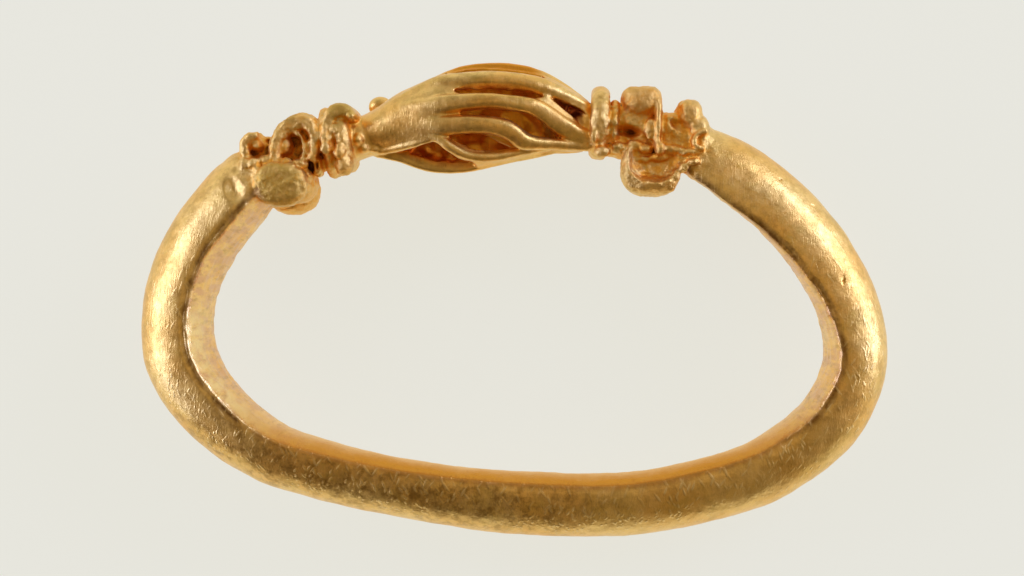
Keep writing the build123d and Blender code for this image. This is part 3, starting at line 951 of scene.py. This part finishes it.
# The walls of the hollow hands throw light at one another, so they are amber with dark patches, and
# darkest at the right, where they close.
amber_light = (1.0, 0.50, 0.045)
amber_dark = (0.66, 0.17, 0.01)
amber_end = (0.36, 0.09, 0.012)
amber = blend(ramped(grain(0.80, 1, 0.5), 0.46, 0.60, 0, 0.9), amber_light, amber_dark)
amber = blend(towards("X", 1.0, 1.8), amber, amber_end)
colour = blend(shares["inside"], colour, amber)


stroke_length = 6
stroke_threshold = 0.51


def strokes(size_mm, turn):
    """Short straight scratches that all lie one way, a few of them in each patch."""
    mapped = node("ShaderNodeMapping", vector_type="TEXTURE")
    mapped.inputs["Rotation"].default_value = (0, 0, turn)
    mapped.inputs["Scale"].default_value = (stroke_length, 1, 1)
    link(coords, mapped.inputs["Vector"])
    cells = node("ShaderNodeTexVoronoi", Scale=1 / (size_mm * MM))
    link(mapped.outputs[0], cells.inputs["Vector"])
    chosen = reckon("GREATER_THAN", (cells.outputs["Color"], stroke_threshold))
    return times(ramped(cells.outputs["Distance"], 0.12, 0.36, 1, 0), chosen)


# Fine scratches cross the back of the hoop, most of them at its foot, and show pale gold.
SCRATCHES = [
    # size in millimetres, turn in radians, strength
    (0.15, 1.25, 1.0),
    (0.17, 1.90, 0.9),
    (0.14, 0.95, 0.9),
    (0.18, 2.20, 0.8),
]
layers = [times(strokes(size_mm, turn), strength) for size_mm, turn, strength in SCRATCHES]
scratched_patches = ramped(grain(1.4, 2, 0.5), 0.35, 0.60, 0.3, 1.0)
more_at_foot = towards("Y", 4.5, -5.0, 0.10, 1.0)
scratch_paleness = 0.75
scratches = times(reckon("MAXIMUM", layers), scratched_patches, more_at_foot)
colour = blend(times(scratches, flank, scratch_paleness), colour, pale_gold)
link(colour, shader.inputs["Base Color"])

# The gloss is broken all over, and duller in the hollows, on the ornaments and on the matt faces.
rough = plus(
    ramped(grain(0.6, 4, 0.6), 0.30, 0.70, 0.32, 0.42),
    ramped(shares["hollow"], 0.25, 0.7, 0, 0.15),
    times(shares["ornament"], 0.08),
    times(shares["dull"], 0.12),
    times(shares["inside"], 0.03),
)

# The fine relief: each kind is a pattern, where it lies and how high it stands beside the others.
powder = grain(0.08, 2, 0.5)
hairs = ramped(grain(0.05, 0, 0.5, (10, 1, 1), (0, 0, 1.5)), 0.55, 0.75)
ripples = grain(0.45, 3, 0.45)
facets = times(grain(0.26, 3, 0.55), plus(times(foot, 0.3), 0.9))
crust = times(grain(0.10, 3, 0.65), shares["ornament"])
hammering = times(grain(0.40, 3, 0.5, (1, 1, 4)), shares["inner"])
lumpiness = times(grain(0.8, 1, 0.5), shares["inside"])
height = plus(
    times(powder, 0.15),
    times(scratches, 1.1),
    times(hairs, 0.22),
    ripples,
    times(facets, 1.2),
    times(crust, 3.2),
    times(hammering, 1.4),
    times(lumpiness, 3.0),
)
relief_strength = 0.40
relief_depth = 0.03 * MM
bump = node("ShaderNodeBump", Strength=relief_strength, Distance=relief_depth)
link(height, bump.inputs["Height"])
link(bump.outputs[0], shader.inputs["Normal"])
link(rough, shader.inputs["Roughness"])
shader.inputs["Metallic"].default_value = 1.0
ring_mesh.materials.append(metal)
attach(ring, "root")
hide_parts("ring")

# The floor: a plain pale sheet that the ring lies on, lit a little from below as on a light table.
floor_half = 0.6
paper_colour = (0.15, 0.15, 0.14)
paper_roughness = 0.9
paper_gloss = 0.1
table_light = (1.0, 0.995, 0.90)
table_light_strength = 0.722
floor_mesh = bmesh.new()
bmesh.ops.create_grid(floor_mesh, x_segments=1, y_segments=1, size=floor_half)
floor = piece_of("floor", floor_mesh)
paper = bpy.data.materials.new("pale_paper")
paper.use_nodes = True
sheet = paper.node_tree.nodes["Principled BSDF"]
sheet.inputs["Base Color"].default_value = (*paper_colour, 1)
sheet.inputs["Roughness"].default_value = paper_roughness
sheet.inputs["Specular IOR Level"].default_value = paper_gloss
sheet.inputs["Emission Color"].default_value = (*table_light, 1)
sheet.inputs["Emission Strength"].default_value = table_light_strength
floor.data.materials.append(paper)

# The camera looks straight down the finger opening from near by, a little right of the middle.
eye_right = 1.61
eye_up = 0.78
eye_height = 66.7
near_clip = 0.005
picture_width = 1024
picture_height = 576
pixels_per_mm = 27.0
axis_pixel = Vector((558, 280))
lens_mm = 50
camera_data = bpy.data.cameras.new("camera")
camera_data.lens = lens_mm
camera_data.sensor_width = lens_mm * picture_width / (eye_height * pixels_per_mm)
camera_data.shift_x = (picture_width / 2 - axis_pixel.x) / picture_width
camera_data.shift_y = (axis_pixel.y - picture_height / 2) / picture_width
camera_data.clip_start = near_clip
camera = bpy.data.objects.new("camera", camera_data)
camera.location = Vector((eye_right, eye_up, eye_height + ring_middle.z)) * MM
bpy.context.collection.objects.link(camera)
bpy.context.scene.camera = camera
bpy.context.scene.view_settings.view_transform = "Standard"

# The light: bright walls at the left and right, a softer one behind, a dim room in front and above.
# The room is three runs of colour, each along one axis of the sky.
world = bpy.data.worlds.new("studio")
bpy.context.scene.world = world
world.use_nodes = True
sky = world.node_tree
sky.nodes.clear()
directions = sky.nodes.new("ShaderNodeTexCoord")
split = sky.nodes.new("ShaderNodeSeparateXYZ")
sky.links.new(directions.outputs["Generated"], split.inputs[0])


def run_of_colour(axis, start, stops):
    """The room's colour along an axis from a start to one, with stops of share and colour."""
    scaled = sky.nodes.new("ShaderNodeMath")
    scaled.operation = "MULTIPLY_ADD"
    scaled.inputs[1].default_value = 1 / (1 - start)
    scaled.inputs[2].default_value = -start / (1 - start)
    sky.links.new(split.outputs[axis], scaled.inputs[0])
    ramp = sky.nodes.new("ShaderNodeValToRGB")
    sky.links.new(scaled.outputs[0], ramp.inputs[0])
    elements = ramp.color_ramp.elements
    while len(elements) < len(stops):
        elements.new(0.5)
    for element, (at, level) in zip(elements, stops):
        element.position = at
        element.color = (*level, 1)
    return ramp.outputs[0]


def together(operation, one, two):
    """Two runs of colour multiplied or added."""
    both = sky.nodes.new("ShaderNodeVectorMath")
    both.operation = operation
    sky.links.new(one, both.inputs[0])
    sky.links.new(two, both.inputs[1])
    return both.outputs[0]


overhead = run_of_colour("Z", 0, [
    (0.0, (0.95, 0.95, 0.95)),
    (0.45, (0.72, 0.69, 0.62)),
    (0.75, (0.42, 0.35, 0.24)),
    (0.92, (0.38, 0.29, 0.17)),
    (1.0, (0.66, 0.52, 0.31)),
])
front_to_back = run_of_colour("Y", -1, [
    (0.0, (0.075, 0.048, 0.018)),
    (0.22, (0.17, 0.12, 0.055)),
    (0.5, (0.55, 0.53, 0.50)),
    (0.8, (0.58, 0.57, 0.56)),
    (1.0, (0.45, 0.45, 0.45)),
])
side_to_side = run_of_colour("X", -1, [
    (0.0, (0.24, 0.21, 0.17)),
    (0.20, (0.22, 0.18, 0.12)),
    (0.35, (0.0, 0.0, 0.0)),
    (0.455, (0.0, 0.0, 0.0)),
    (0.515, (0.30, 0.23, 0.10)),
    (0.59, (0.28, 0.215, 0.10)),
    (0.66, (0.05, 0.04, 0.018)),
    (0.80, (0.16, 0.13, 0.08)),
    (1.0, (0.24, 0.21, 0.17)),
])
room = sky.nodes.new("ShaderNodeBackground")
room.inputs["Strength"].default_value = 1.0
room_light = together("ADD", together("MULTIPLY", overhead, front_to_back), side_to_side)
sky.links.new(room_light, room.inputs[0])
world_output = sky.nodes.new("ShaderNodeOutputWorld")
sky.links.new(room.outputs[0], world_output.inputs[0])
lamp_colour = (0.80, 1.0, 1.95)
LAMPS = [
    # name, place, width, height, roll in degrees, radiance
    ("lamp_left", (-0.245, 0.000, 0.060), 0.32, 0.105, -24, 2.7),
    ("lamp_right", (0.224, 0.080, 0.055), 0.31, 0.115, 22, 2.7),
    ("lamp_back", (0.11, 0.12, 0.21), 0.06, 0.030, 0, 1.8),
]


def lamp(name, spot, wide, tall, roll, radiance):
    """A soft oblong lamp that faces the ring, rolled by some degrees."""
    data = bpy.data.lights.new(name, "AREA")
    data.shape = "RECTANGLE"
    data.size = wide
    data.size_y = tall
    data.energy = radiance * math.pi * wide * tall
    data.color = lamp_colour
    light = bpy.data.objects.new(name, data)
    light.location = spot
    facing = (-Vector(spot)).to_track_quat("-Z", "Y")
    light.rotation_euler = (facing @ Quaternion((0, 0, 1), math.radians(roll))).to_euler()
    bpy.context.collection.objects.link(light)


for row in LAMPS:
    lamp(*row)
